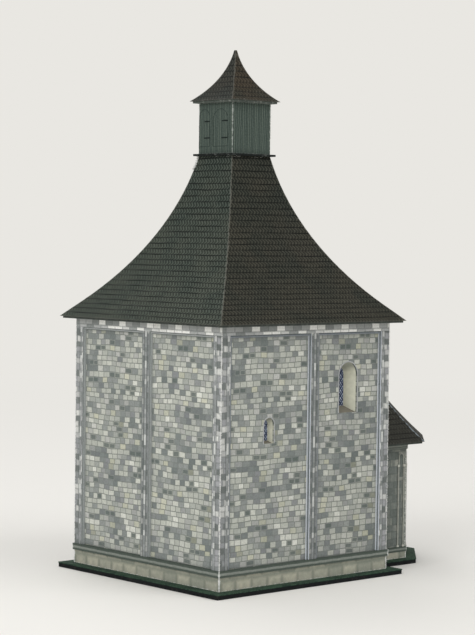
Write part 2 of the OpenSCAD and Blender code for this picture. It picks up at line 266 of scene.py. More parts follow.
def to_fold(tree, place, round_apse=False):
    """Mm from the upright folds of the nave, or of the apse; FAR or more on what lies flat."""
    x = add(tree, MATH, place["X"], APSE_X if round_apse else 0.0, operation="SUBTRACT")
    out = outward(tree, x, place["Y"])
    half_side = add(tree, MATH, out, HALF_TURN if round_apse else 1.0, operation="MULTIPLY")
    level = add(tree, MATH, along(tree, x, place["Y"]), operation="ABSOLUTE")
    away = add(tree, MATH, add(tree, MATH, half_side, level, operation="SUBTRACT"), operation="ABSOLUTE")
    if round_apse:
        straight = add(tree, MATH, x, 0.0, operation="LESS_THAN")
        away = add(tree, MATH, straight, FAR, away, operation="MULTIPLY_ADD")
    normal = add(tree, "ShaderNodeNewGeometry").outputs["True Normal"]
    rise = add(tree, VECTOR, normal, (0, 0, 1), operation="DOT_PRODUCT").outputs["Value"]
    lying = add(tree, MATH, add(tree, MATH, rise, operation="ABSOLUTE"), 0.95, operation="GREATER_THAN")
    return add(tree, MATH, lying, FAR, away, operation="MULTIPLY_ADD")


def crack(tree, away, z, seed, wide=0.28):
    """1 where a fold in the card has cracked white; away is mm from the fold."""
    spot = add(tree, COMBINE, z, seed, 0.0)
    ragged = add(tree, NOISE, Vector=spot, Scale=1.9, Detail=2.0)
    edge = add(tree, RANGE, ragged, 0.36, 0.66, 0.12 * wide, 1.4 * wide)
    inner = add(tree, MATH, edge, 0.55, operation="MULTIPLY")
    return add(tree, RANGE, away, inner, edge, 1.0, 0.0)


def field_stone(name, axis, middles, level=1.0):
    """Matt card printed with small mixed stones: pale ones in drifts, soft greys, and scattered dark ones;
    painted shade darkens it beside the raised strips and, on the long sides, towards the east.
    """
    material, tree, place = card(name)
    u = along(tree, place["X"], place["Y"])
    own, joint, spot, (centre_u, centre_z) = stones(tree, u, place["Z"], 1.34, 2.05, 3.7, sway=0.6)
    # Drifts of pale and of grey stones slant across the wall; each stone belongs to one drift as a whole.
    slanted = add(tree, MATH, centre_z, -0.7, centre_u, operation="MULTIPLY_ADD")
    patch = add(tree, COMBINE, slanted, centre_z, 3.7)
    drift = patches(tree, patch, 0.15, 0.37, 0.63, detail=2.0)
    lot = add(tree, MATH, own["Red"], 0.64, operation="MULTIPLY")
    lot = add(tree, MATH, drift, 0.36, lot, operation="MULTIPLY_ADD")
    tone = add(tree, RAMP, lot, stops=[
        (0.0, "#6a716f"), (0.2, "#777d7b"), (0.35, "#8a8e8b"), (0.39, "#969a95"),
        (0.43, "#a6a9a1"), (0.70, "#b8bab1"), (0.93, "#cdcec6")])
    uneven = add(tree, RANGE, own["Blue"], 0.0, 1.0, 0.92, 1.08)
    tone = add(tree, VECTOR, tone, uneven, operation="MULTIPLY")
    cool = add(tree, RANGE, own["Blue"], 0.0, 0.3, 0.28, 0.0)
    tone = tinted(tree, tone, "#8d8c95", cool)
    dark = add(tree, RANGE, own["Green"], 0.83, 0.84, 0.0, 0.85)
    tone = tinted(tree, tone, "#59625e", dark, soft(tree, joint, 0.26, 0.12))
    warm = add(tree, RANGE, own["Blue"], 0.94, 0.99, 0.0, 0.45)
    tone = tinted(tree, tone, "#a8a686", warm)
    # Joints show most between pale stones.
    depth = add(tree, RANGE, lot, 0.32, 0.46, 0.5, 0.9)
    line = add(tree, MATH, soft(tree, joint, 0.02, 0.17), depth, operation="MULTIPLY")
    colour = tinted(tree, tone, "#686e69", line)
    # Painted shade: the field is darker beside the raised strips, where they cast shade.
    shade = soft(tree, strip_edge(tree, place[axis], place["Z"], middles), 0.55, 1.7)
    colour = tinted(tree, colour, "#565c58", shade, 0.3)
    # Painted shade: the long sides are darker towards the east, where less light falls on them.
    painted_falloff = add(tree, RANGE, place["X"], -FACE, FACE, 1.0, 0.84 if axis == "X" else 1.0)
    colour = add(tree, VECTOR, colour, painted_falloff, operation="MULTIPLY")
    return printed(material, colour, spot, 2.6, 0.12, level)


def strip_stone(name, axis, middles, cut_edge_and_shade, steps, level):
    """Matt card strips printed with blocks, pale bits and dark lines along their edges; the cut edges take
    the given colour, bare white card on the long sides and a painted shade grey on the west and east.
    """
    material, tree, place = card(name)
    a, z = place[axis], place["Z"]
    u = along(tree, place["X"], place["Y"])
    palette = [(0.0, "#646967"), (0.16, "#747977"), (0.3, "#8c8f90"), (0.6, "#9b9c9e"), (0.66, "#b6b7b4"),
               (0.93, "#cecfcb")]
    own, joint, spot, _ = stones(tree, u, z, 1.45, 2.3, 11.3)
    tone = add(tree, RAMP, own["Red"], stops=palette)
    colour = tinted(tree, tone, "#6a6e6c", soft(tree, joint, 0.05, 0.3), 0.45)
    # The band has two rows, the upper one taller.
    upper = add(tree, MATH, z, 0.5 * BAND_ROW - PLATE_Z, operation="ADD")
    own, joint, _, _ = stones(tree, u, upper, BAND_ROW, 2.9, 7.0, uneven=0.0, sway=0.0)
    blocks = add(tree, RAMP, own["Red"], stops=[
        (0.0, "#7f8482"), (0.12, "#9a9e9c"), (0.5, "#b4b6b5"), (0.58, "#e6e7e2"), (1.0, "#fafaf6")])
    blocks = tinted(tree, blocks, "#6a6e6c", soft(tree, joint, 0.05, 0.25), 0.5)
    colour = tinted(tree, colour, blocks, soft(tree, z, PLATE_Z - BAND_H + 0.1, PLATE_Z - BAND_H))
    # A column of pale bits runs down each strip, and the lower step has a dark line on either side.
    out = strip_edge(tree, a, z, middles)
    bits = add(tree, VORONOI, W=z, Scale=0.8, voronoi_dimensions="1D")
    bits = add(tree, CHANNELS, bits.outputs["Color"]).outputs["Green"]
    bits = add(tree, RAMP, bits, stops=[(0.0, "#777c7a"), (0.5, "#8d9090"), (0.62, "#b2b4b2"),
                                                        (1.0, "#c6c8c5")])
    below = soft(tree, z, PLATE_Z - BAND_H - 0.1, PLATE_Z - BAND_H)
    inward = add(tree, MATH, out, -1.0, operation="MULTIPLY")
    column = add(tree, MATH, inward, 0.65, 0.32, operation="COMPARE")
    line = add(tree, MATH, inward, 1.2, 0.09, operation="COMPARE")
    for middle in middles:
        near = beyond(tree, a, middle, 0.0)
        in_middle = add(tree, MATH, near, MIDDLE_W / 2 + STEP_W, operation="LESS_THAN")
        colour = tinted(tree, colour, "#5f6563", in_middle, below, 0.5)
        own_column = add(tree, MATH, near, 0.33, operation="LESS_THAN")
        own_line = add(tree, MATH, near, 0.48, 0.14, operation="COMPARE")
        column = add(tree, MIX, in_middle, column, own_column, data_type="FLOAT")
        line = add(tree, MIX, in_middle, line, own_line, data_type="FLOAT")
    colour = tinted(tree, colour, bits, column, below)
    colour = tinted(tree, colour, "#4d5452", line, below, 0.7)
    step = add(tree, RAMP, add(tree, RANGE, out, 0.0, STEP_W, 0.0, 1.0), stops=steps)
    colour = tinted(tree, colour, step, add(tree, MATH, out, 0.005, operation="GREATER_THAN"))
    fold = add(tree, MATH, FACE, add(tree, MATH, a, operation="ABSOLUTE"), operation="SUBTRACT")
    colour = tinted(tree, colour, "#d8d9d6", crack(tree, fold, z, 1.0, 0.26), 0.85)
    # Cut edges: bare white card on the long sides; on the west and east the grey given is painted shade.
    towards = facing(tree)["Y" if axis == "X" else "X"]
    side = add(tree, MATH, add(tree, MATH, towards, operation="ABSOLUTE"), 0.5, operation="LESS_THAN")
    colour = tinted(tree, colour, cut_edge_and_shade, side)
    return printed(material, colour, spot, 2.6, 0.1, level)


def plinth_stone(name, round_apse=False):
    """Matt card printed with a row of large beige-grey blocks, soft at their joints and fuzzy at the foot."""
    material, tree, place = card(name)
    u = along(tree, place["X"], place["Y"])
    raised = add(tree, MATH, place["Z"], -0.1, operation="ADD")
    own, joint, spot, _ = stones(tree, u, raised, 3.3, 4.9, 2.5, uneven=0.25, sway=0.0)
    tone = add(tree, RAMP, own["Red"], stops=[
        (0.0, "#94978a"), (0.5, "#a9a899"), (1.0, "#bab7a5")])
    mottle = patches(tree, spot, 0.5, 0.35, 0.65, full=0.5)
    tone = tinted(tree, tone, "#8c9083", mottle)
    colour = tinted(tree, tone, "#747a6f", soft(tree, joint, 0.0, 0.9), 0.62)
    low = add(tree, MATH, place["Z"], GRASS_Z, operation="SUBTRACT")
    torn = patches(tree, spot, 1.4, 0.45, 0.7, full=0.4)
    fuzz = add(tree, RANGE, low, add(tree, MATH, torn, 0.6, operation="MULTIPLY"), torn, 1.0, 0.0)
    colour = tinted(tree, colour, "#cfd0c9", fuzz, 0.7)
    fold = to_fold(tree, place, round_apse)
    colour = tinted(tree, colour, "#dddedb", crack(tree, fold, place["Z"], 5.0, 0.34), 0.95)
    return printed(material, colour, spot, 2.2, 0.07)


def banded(name, foot, top, stops, round_apse=False):
    """Matt card printed with level lines; each stop is a share of the height and a colour."""
    material, tree, place = card(name)
    u = along(tree, place["X"], place["Y"])
    spot = add(tree, COMBINE, u, place["Z"], 0.0)
    shaky = add(tree, NOISE, Vector=spot, Scale=0.4, Detail=2.0)
    level = add(tree, MATH, shaky, 0.3, place["Z"], operation="MULTIPLY_ADD")
    share = add(tree, RANGE, level, foot + 0.15, top + 0.15, 0.0, 1.0)
    colour = add(tree, RAMP, share, stops=stops)
    fold = to_fold(tree, place, round_apse)
    colour = tinted(tree, colour, "#d4d6d2", crack(tree, fold, place["Z"], 8.0, 0.36), 0.85)
    return printed(material, colour, spot, 1.8, 0.12)


def slope_arc(foot, top, sag, flare):
    """The arc of a roof's slope above its flare: pitch at its foot, radius and middle, as (r, z)."""
    rise = Vector(top) - Vector(foot)
    pitch = math.atan2(rise.y, -rise.x) - math.radians(sag)
    up, out = Vector((-math.cos(pitch), math.sin(pitch))), Vector((math.sin(pitch), math.cos(pitch)))
    bend = Vector(foot) + flare * up
    chord = Vector(top) - bend
    radius = chord.length_squared / (2 * out.dot(chord))
    return pitch, radius, bend + radius * out


def slope_line(foot, top, sag, flare, steps=24):
    """Points (r, z) up a roof's slope."""
    pitch, radius, centre = slope_arc(foot, top, sag, flare)
    last = math.atan2(centre.x - top[0], centre.y - top[1])
    turns = [pitch + (last - pitch) * i / steps for i in range(steps + 1)]
    return [foot] + [(centre.x - radius * math.sin(t), centre.y - radius * math.cos(t)) for t in turns]


def shingles(name, foot, top, sag, flare, colours, seed, worn, level, round_apse=False):
    """Matt card printed with fine wooden shingles in courses; the folds at the hips are rubbed pale."""
    cool, warm, dark, line_dark, rubbed_pale, stroke_pale = colours
    material, tree, place = card(name, gloss=0.12)
    x = add(tree, MATH, place["X"], APSE_X if round_apse else 0.0, operation="SUBTRACT")
    y, z = place["Y"], place["Z"]
    u, r = along(tree, x, y), outward(tree, x, y)
    # The slope follows one arc, so the length up it is the radius times the turn about the arc's middle.
    pitch, radius, centre = slope_arc(foot, top, sag, flare)
    turn = add(tree, MATH, add(tree, MATH, centre.x, r, operation="SUBTRACT"),
               add(tree, MATH, centre.y, z, operation="SUBTRACT"), operation="ARCTAN2")
    s = add(tree, MATH, turn, radius, flare - radius * pitch, operation="MULTIPLY_ADD")
    spot = add(tree, COMBINE, u, s, seed)
    # A course holds two rows of shingles, whose strokes lean one way and then the other.
    courses = add(tree, NOISE, Vector=spot, Scale=0.12, Detail=1.0)
    courses = add(tree, MATH, courses, 0.5, s, operation="MULTIPLY_ADD")
    share = add(tree, MATH, add(tree, MATH, courses, 1 / COURSE, operation="MULTIPLY"), operation="FRACT")
    rows = add(tree, MATH, courses, 2 / COURSE, operation="MULTIPLY")
    lean = add(tree, MATH, add(tree, MATH, rows, 1.0, operation="PINGPONG"), 0.7, operation="MULTIPLY")
    stroke = add(tree, MATH, u, 1 / SHINGLE_W, lean, operation="MULTIPLY_ADD")
    stroke = add(tree, MATH, add(tree, MATH, stroke, math.tau, operation="MULTIPLY"), operation="SINE")
    tall = add(tree, VECTOR, spot, (1.6, 0.9, 1.0), operation="MULTIPLY")
    ragged = patches(tree, tall, 1.0, 0.3, 0.7, -0.5, 0.5, detail=2.0)
    stroke = add(tree, MATH, ragged, stroke, operation="ADD")
    # The print is warmer in patches, and towards the foot.
    lower = add(tree, RANGE, z, foot[1], top[1], 0.3, -0.2)
    warmth = add(tree, MATH, patches(tree, spot, 0.12, 0.35, 0.65), lower, operation="ADD", use_clamp=True)
    colour = tinted(tree, cool, warm, warmth)
    colour = tinted(tree, colour, dark, add(tree, RANGE, stroke, 0.2, -0.8, 0.0, 0.6))
    colour = tinted(tree, colour, stroke_pale, add(tree, RANGE, stroke, 0.2, 0.9, 0.0, 0.42))
    # A dark line under each course comes and goes.
    long = add(tree, VECTOR, spot, (0.14, 0.6, 1.0), operation="MULTIPLY")
    fade = patches(tree, long, 1.0, 0.35, 0.6, 0.45, 1.0, detail=2.0)
    colour = tinted(tree, colour, line_dark, soft(tree, share, 0.12, 0.26), fade)
    rub = crack(tree, to_fold(tree, place, round_apse), z, seed + 2.0, 0.38)
    colour = tinted(tree, colour, rubbed_pale, rub, worn)
    colour = tinted(tree, colour, "#6f6f66", soft(tree, s, 0.1, 0.4), 0.3)
    return printed(material, colour, spot, 2.4, 0.16, level)


def boards(name):
    """Matt card printed with narrow upright boards and dark gaps; the folds are rubbed pale."""
    material, tree, place = card(name, gloss=0.12)
    u = along(tree, place["X"], place["Y"])
    spot = add(tree, COMBINE, u, place["Z"], 4.0)
    lean = add(tree, NOISE, Vector=spot, Scale=0.25, Detail=1.0)
    run = add(tree, MATH, lean, 0.5, u, operation="MULTIPLY_ADD")
    run = add(tree, MATH, add(tree, MATH, run, 1 / BOARD_W, operation="MULTIPLY"), 60.0, operation="ADD")
    cells = {"W": run, "Scale": 1.0, "Randomness": 0.45, "voronoi_dimensions": "1D"}
    board = add(tree, VORONOI, **cells)
    gap = add(tree, VORONOI, feature="DISTANCE_TO_EDGE", **cells)
    own = add(tree, CHANNELS, board.outputs["Color"]).outputs["Red"]
    colour = tinted(tree, "#48534d", "#566159", own)
    length = add(tree, VECTOR, spot, (2.6, 0.22, 1.0), operation="MULTIPLY")
    streak = patches(tree, length, 1.0, 0.35, 0.65)
    colour = tinted(tree, colour, "#5f6a63", streak, 0.3)
    colour = tinted(tree, colour, "#27302c", soft(tree, gap, 0.06, 0.27), 0.85)
    fold = add(tree, MATH, LANTERN, add(tree, MATH, u, operation="ABSOLUTE"), operation="SUBTRACT")
    colour = tinted(tree, colour, "#a5aaa5", crack(tree, fold, place["Z"], 6.0, 0.26), 0.8)
    ends = least(tree, add(tree, MATH, LANTERN_TOP, place["Z"], operation="SUBTRACT"),
                 add(tree, MATH, place["Z"], LANTERN_FOOT, operation="SUBTRACT"))
    colour = tinted(tree, colour, "#8b918b", crack(tree, ends, u, 7.0, 0.2), 0.5)
    return printed(material, colour, spot, 2.5, 0.18, 0.98)


def dark_card(name, colour, worn):
    """Dark unprinted card, its cut edges rubbed pale here and there."""
    material, tree, place = card(name, gloss=0.12)
    spot = add(tree, COMBINE, place["X"], place["Y"], place["Z"])
    rub = patches(tree, spot, 0.9, 0.55, 0.72, full=0.7, detail=4.0)
    return printed(material, tinted(tree, colour, worn, rub), spot, 1.2, 0.2)


def printed_grass(name):
    """Matt card printed with short dark grass: green mottle with lighter tufts."""
    material, tree, place = card(name, gloss=0.15)
    spot = add(tree, COMBINE, place["X"], place["Y"], place["Z"])
    broad = patches(tree, spot, 0.25, 0.35, 0.65)
    tuft = patches(tree, spot, 2.0, 0.45, 0.65, full=0.7)
    colour = tinted(tree, "#1e3028", "#2e4436", broad)
    return printed(material, tinted(tree, colour, "#435947", tuft), spot, 3.0, 0.2)


def reveal_card(name):
    """Cream card of the window linings, with painted shade on the faces that look down under the arch, and
    brown-grey on the sill.
    """
    material, tree, place = card(name)
    spot = add(tree, COMBINE, place["X"], place["Y"], place["Z"])
    normal = add(tree, "ShaderNodeNewGeometry").outputs["True Normal"]
    rise = add(tree, "ShaderNodeSeparateXYZ", normal).outputs["Z"]
    # Painted shade: faces that look down, under the arch, are darker grey.
    cream = tinted(tree, "#d2d2c1", "#8a8d84", add(tree, RANGE, rise, -0.2, -0.7, 0.0, 0.8))
    colour = tinted(tree, cream, "#777367", add(tree, MATH, rise, 0.6, operation="GREATER_THAN"))
    return printed(material, colour, spot, 0.9, 0.08)


def window_print(name):
    """Matt card printed as leaded glass: navy panes with pale blue-white lozenges, and a painted near-black
    shadow of each west jamb on the glass.
    """
    material, tree, place = card(name)
    u, z = place["X"], place["Z"]
    spot = add(tree, COMBINE, u, z, 1.0)
    across = add(tree, MATH, u, 1 / PANE_W, operation="MULTIPLY")
    up = add(tree, MATH, z, 1 / PANE_H, operation="MULTIPLY")
    ways = []
    for way in ("ADD", "SUBTRACT"):
        part = add(tree, MATH, add(tree, MATH, across, up, operation=way), operation="FRACT")
        ways.append(beyond(tree, part, 0.5, 0.0))
    pale = soft(tree, add(tree, MATH, *ways, operation="MAXIMUM"), 0.2, 0.42)
    uneven = patches(tree, spot, 0.8, 0.3, 0.7, 0.55, 1.0, detail=2.0)
    colour = tinted(tree, "#2e3a5c", "#c3cedd", pale, uneven)
    # Painted shadow: the west jamb's shadow makes the west part of each opening's glass near black.
    for start, end in ((WINDOW_X - 4.0, WINDOW_X + 0.3), (SLIT_X - 4.0, SLIT_X)):
        in_jamb_shadow = add(tree, MATH, u, start, operation="GREATER_THAN")
        colour = tinted(tree, colour, "#0f141b", in_jamb_shadow, soft(tree, u, end, end + 0.25), 0.9)
    return printed(material, colour, spot, 2.0, 0.06)


def apse_card(name):
    """Matt card printed with larger worn blocks, streaked by damp; with a painted shadow of the nave
    darkening it beside the nave.
    """
    material, tree, place = card(name)
    u = along(tree, place["X"], place["Y"])
    own, joint, spot, _ = stones(tree, u, place["Z"], 1.9, 3.1, 6.1, sway=0.5)
    tone = add(tree, RAMP, own["Red"], stops=[
        (0.0, "#646b66"), (0.3, "#717773"), (0.55, "#80857f"), (0.8, "#8f928a"), (1.0, "#a8a99e")])
    streak = add(tree, VECTOR, spot, (1.0, 0.16, 1.0), operation="MULTIPLY")
    streak = patches(tree, streak, 0.8, 0.35, 0.65, full=0.7)
    colour = tinted(tree, tone, "#707772", streak)
    colour = tinted(tree, colour, "#5a615c", soft(tree, joint, 0.03, 0.25), 0.45)
    fold = to_fold(tree, place, round_apse=True)
    colour = tinted(tree, colour, "#cfd0c8", crack(tree, fold, place["Z"], 9.0, 0.4))
    # Painted shadow: the nave's shadow darkens the apse wall beside it.
    nave_shadow = soft(tree, place["X"], 33.0, 41.5)
    colour = tinted(tree, colour, "#2b3231", nave_shadow, 0.6)
    return printed(material, colour, spot, 1.6, 0.14, 0.85)


def mottled(name, first, second, scale, gloss=0.3):
    """Card of two near colours, unevenly mixed."""
    material, tree, place = card(name, gloss)
    spot = add(tree, COMBINE, place["X"], place["Y"], place["Z"])
    blend = patches(tree, spot, scale, 0.35, 0.65)
    return printed(material, tinted(tree, first, second, blend), spot, 2.5, 0.08)


def door_boards(name):
    """Matt card printed with brown upright boards and dark gaps."""
    material, tree, place = card(name, gloss=0.15)
    u = along(tree, place["X"], place["Y"])
    spot = add(tree, COMBINE, u, place["Z"], 0.0)
    gap = add(tree, VORONOI, W=u, Scale=1 / DOOR_BOARD_W, Randomness=0.3, voronoi_dimensions="1D",
              feature="DISTANCE_TO_EDGE")
    length = add(tree, VECTOR, spot, (2.0, 0.2, 1.0), operation="MULTIPLY")
    streak = patches(tree, length, 1.0, 0.35, 0.65)
    colour = tinted(tree, "#453628", "#5a4733", streak)
    colour = tinted(tree, colour, "#211a13", soft(tree, gap, 0.03, 0.12), 0.8)
    return printed(material, colour, spot, 2.0, 0.12)


# ---- Added pieces ----------------------------------------------------------

def piece(name, mesh, material):
    """A finished piece in the frame's place, riding the church."""
    found = bpy.data.objects.new(name, mesh)
    bpy.context.scene.collection.objects.link(found)
    found.data.materials.clear()
    found.data.materials.append(material)
    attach(found, "root")
    return found


def sheets(name, parts, material):
    """One piece of flat closed sheets; a part is an outline (u, z), its turn, front, thickness and middle."""
    points, faces = [], []
    for outline, turn, front, thick, middle in parts:
        count, first = len(outline), len(points)
        spin = Matrix.Rotation(math.radians(turn), 3, "Z")
        for depth in (front, front - thick):
            points += [(spin @ Vector((u, -depth, z)) + Vector((middle, 0, 0))) * MM for u, z in outline]
        faces.append(list(range(first, first + count)))
        faces.append(list(range(first + 2 * count - 1, first + count - 1, -1)))
        for i in range(count):
            j = (i + 1) % count
            faces.append([first + i, first + count + i, first + count + j, first + j])
    mesh = bpy.data.meshes.new(name)
    mesh.from_pydata(points, [], faces)
    return piece(name, mesh, material)


def rect(u0, u1, z0, z1):
    """An oblong's outline."""
    return [(u0, z0), (u1, z0), (u1, z1), (u0, z1)]


def arch_line(u, z, w, h, steps=14):
    """From the foot of the right side over a round head to the foot of the left side."""
    half = w / 2
    head = [(u + half * math.cos(math.pi * i / steps), z + h - half + half * math.sin(math.pi * i / steps))
            for i in range(steps + 1)]
    return [(u + half, z)] + head + [(u - half, z)]


def hoop(u, z, w, h, t):
    """An upright band t wide round the outside of an arched opening, open at the foot."""
    return arch_line(u, z, w + 2 * t, h + t) + arch_line(u, z, w, h)[::-1]


def node_group(name, inputs):
    """A geometry tree with named inputs; returns the tree and its input sockets."""
    tree = bpy.data.node_groups.new(name, "GeometryNodeTree")
    for label, kind in inputs:
        tree.interface.new_socket(label, in_out="INPUT", socket_type="NodeSocket" + kind)
    tree.interface.new_socket("Pieces", in_out="OUTPUT", socket_type="NodeSocketGeometry")
    return tree, add(tree, "NodeGroupInput").outputs


def finish_group(tree, made, material):
    """Ends a geometry tree with real, painted pieces."""
    real = add(tree, "GeometryNodeRealizeInstances", made)
    add(tree, "NodeGroupOutput", add(tree, "GeometryNodeSetMaterial", real, Material=material))


def torn_fibres_group():
    """Short pointed fibres thrown about along guide lines, in clumps."""
    tree, given = node_group("torn fibres", [
        ("Guide", "Geometry"), ("Spacing", "Float"), ("Length", "Float"), ("Thickness", "Float"),
        ("Spread", "Float"), ("Clumps", "Float"), ("Seed", "Int"), ("Material", "Material")])
    curve = add(tree, "GeometryNodeMeshToCurve", given["Guide"])
    line = add(tree, "GeometryNodeResampleCurve", curve, mode="LENGTH", Length=given["Spacing"])
    thrown = {"data_type": "FLOAT_VECTOR", "Seed": given["Seed"]}
    throw = add(tree, "FunctionNodeRandomValue", (-1, -1, -1), (1, 1, 1), **thrown)
    throw = add(tree, VECTOR, throw, operation="SCALE", Scale=given["Spread"])
    line = add(tree, "GeometryNodeSetPosition", line, Offset=throw)
    clump = add(tree, NOISE, Vector=add(tree, "GeometryNodeInputPosition"), Scale=700.0, Detail=2.0)
    kept = add(tree, MATH, clump, given["Clumps"], operation="GREATER_THAN")
    fibre = add(tree, "GeometryNodeMeshCone", 4, 1, 1, 0.0, given["Thickness"], given["Length"])
    turn = add(tree, "FunctionNodeRandomValue", (-3, -3, -3), (3, 3, 3), **thrown)
    size = add(tree, "FunctionNodeRandomValue", 0.3, 1.0, data_type="FLOAT", Seed=given["Seed"])
    made = add(tree, "GeometryNodeInstanceOnPoints", line, kept, fibre, Rotation=turn, Scale=size)
    finish_group(tree, made, given["Material"])
    return tree


def bars_group():
    """Square closed bars along guide lines."""
    tree, given = node_group("lattice bars", [
        ("Guide", "Geometry"), ("Thickness", "Float"), ("Material", "Material")])
    curve = add(tree, "GeometryNodeMeshToCurve", given["Guide"])
    profile = add(tree, "GeometryNodeCurvePrimitiveQuadrilateral", given["Thickness"], given["Thickness"])
    bars = add(tree, "GeometryNodeCurveToMesh", curve, profile, Fill_Caps=True)
    finish_group(tree, bars, given["Material"])
    return tree


def grown(name, tree, lines, material, slot, **settings):
    """A piece grown by a geometry tree along guide lines, each a run of points in mm."""
    points, edges = [], []
    for line in lines:
        edges += [(len(points) + i, len(points) + i + 1) for i in range(len(line) - 1)]
        points += [Vector(p) * MM for p in line]
    mesh = bpy.data.meshes.new(name + "_guide")
    mesh.from_pydata(points, edges, [])
    guide = bpy.data.objects.new(name + "_guide", mesh)
    bpy.context.scene.collection.objects.link(guide)
    modifier = guide.modifiers.new("grow", "NODES")
    modifier.node_group = tree
    named = {item.name: item.identifier for item in tree.interface.items_tree if item.in_out == "INPUT"}
    modifier[named["Material"]] = material
    for label, value in settings.items():
        modifier[named[label]] = value
    held = guide.evaluated_get(bpy.context.evaluated_depsgraph_get())
    made = bpy.data.meshes.new_from_object(held)
    guide.modifiers.clear()
    bpy.data.objects.remove(guide)
    made.name = name
    return piece(name, made, material)


# ---- Studio ----------------------------------------------------------------

PAPER = "#e9e7e2"


def make_studio():
    """A pale floor that fades into the same pale background, soft light all round and two broad lamps."""
    world = bpy.data.worlds.new("soft surround")
    bpy.context.scene.world = world
    world.use_nodes = True
    tree = world.node_tree
    out = tree.nodes["World Output"]
    glow = tree.nodes["Background"]
    glow.inputs["Color"].default_value = linear("#ffffff")
    glow.inputs["Strength"].default_value = 0.62
    back = add(tree, "ShaderNodeBackground", Color=PAPER, Strength=1.0)
    ray = add(tree, "ShaderNodeLightPath")
    seen = add(tree, MATH, ray.outputs["Is Camera Ray"], ray.outputs["Is Glossy Ray"], operation="MAXIMUM")
    seen = add(tree, MATH, seen, ray.outputs["Is Transmission Ray"], operation="MAXIMUM")
    surround = add(tree, "ShaderNodeMixShader", seen, glow, back)
    tree.links.new(surround.outputs[0], out.inputs["Surface"])

    material = bpy.data.materials.new("pale studio floor")
    material.use_nodes = True
    tree = material.node_tree
    shader = tree.nodes["Principled BSDF"]
    shader.inputs["Base Color"].default_value = linear(PAPER)
    shader.inputs["Roughness"].default_value = 0.9
    shader.inputs["Specular IOR Level"].default_value = 0.2
    place = add(tree, "ShaderNodeTexCoord").outputs["Object"]
    far = add(tree, VECTOR, place, operation="LENGTH")
    fade = add(tree, RANGE, far.outputs["Value"], 0.16, 0.7, 0.0, 1.0, interpolation_type="SMOOTHSTEP")
    ray = add(tree, "ShaderNodeLightPath")
    fade = add(tree, MATH, fade, ray.outputs["Is Camera Ray"], operation="MULTIPLY")
    lit = add(tree, "ShaderNodeEmission", PAPER, 1.0)
    surface = add(tree, "ShaderNodeMixShader", fade, shader, lit)
    tree.links.new(surface.outputs[0], tree.nodes["Material Output"].inputs["Surface"])

    sides, radius, below = 96, 4.0, 0.00002
    turns = [math.tau * i / sides for i in range(sides)]
    ring = [(radius * math.cos(turn), radius * math.sin(turn), -below) for turn in turns]
    mesh = bpy.data.meshes.new("floor")
    mesh.from_pydata(ring, [], [list(range(sides))])
    floor = bpy.data.objects.new("floor", mesh)
    floor.data.materials.append(material)
    bpy.context.scene.collection.objects.link(floor)

    # Each lamp: azimuth and rise in degrees, then metres away, metres across and watts.
    aim = Vector((0, 0, 0.06))
    for name, azimuth, rise, distance, across, power in (
            ("key lamp", -75, 32, 0.9, 0.6, 3.2), ("fill lamp", 20, 38, 1.0, 0.8, 3.0),
            ("back lamp", 165, 45, 1.1, 0.8, 2.4)):
        a, e = math.radians(azimuth), math.radians(rise)
        data = bpy.data.lights.new(name, "AREA")
        data.shape, data.size, data.energy = "DISK", across, power
        lamp = bpy.data.objects.new(name, data)
        away = Vector((math.sin(a) * math.cos(e), -math.cos(a) * math.cos(e), math.sin(e)))
        turn = away.to_track_quat("Z", "Y").to_matrix().to_4x4()
        lamp.matrix_world = Matrix.Translation(aim + away * distance) @ turn
        bpy.context.scene.collection.objects.link(lamp)


# ---- The church's looks ----------------------------------------------------

# The printed edge of the lower step beside the strips, from the strip outwards.
WEST_STEPS = [(0.0, "#5f6664"), (0.35, "#7a7f7e"), (0.5, "#a2a5a4"), (0.66, "#9b9e9d"), (0.85, "#6a706e")]
SOUTH_STEPS = [(0.0, "#4f5655"), (0.4, "#5d6467"), (0.55, "#868c90"), (0.75, "#858b90"), (0.95, "#686e71")]
# The printed lines of the mouldings and the cornice, from the foot up.
MOULDING_LINES = [(0.0, "#525b54"), (0.24, "#444d46"), (0.36, "#777d76"), (0.6, "#838881"), (0.7, "#4c554e"),
                  (1.0, "#434c45")]
CORNICE_LINES = [(0.0, "#4a514c"), (0.15, "#7f847d"), (0.35, "#565e58"), (0.5, "#8d9189"), (0.75, "#646b65"),
                 (1.0, "#9a9c92")]
# Each roof's slope: foot and top as (r, z), then its sag in degrees and its flare.
MAIN_SLOPE = (31.0, 63.9), (LANTERN, 104.6), 14.8, 5.7
SPIRE_SLOPE = (8.1, 118.3), (0.25, 131.2), 20.7, 0.0
APSE_SLOPE = (22.9, 31.85), (0.3, 60.05), 9.3, 0.0
# Each roof's print: its cool and warm ground, dark strokes, course lines, rubbed hips and pale strokes.
GREENISH = ["#363f39", "#484d44", "#222824", "#171b19", "#6f716a", "#6c746b"]
BROWNISH = ["#2b302a", "#3e3c33", "#1e211e", "#141613", "#6b6a61", "#5f5f55"]
GREYER = ["#2f3734", "#403e37", "#222624", "#181b1a", "#706f68", "#5b5d57"]
BROWNER = ["#33362f", "#453c30", "#24251f", "#1a1b18", "#706e65", "#5f5b52"]
APSE_PRINT = ["#3b3b36", "#484740", "#292a26", "#20211e", "#a3b0b8", "#63635c"]


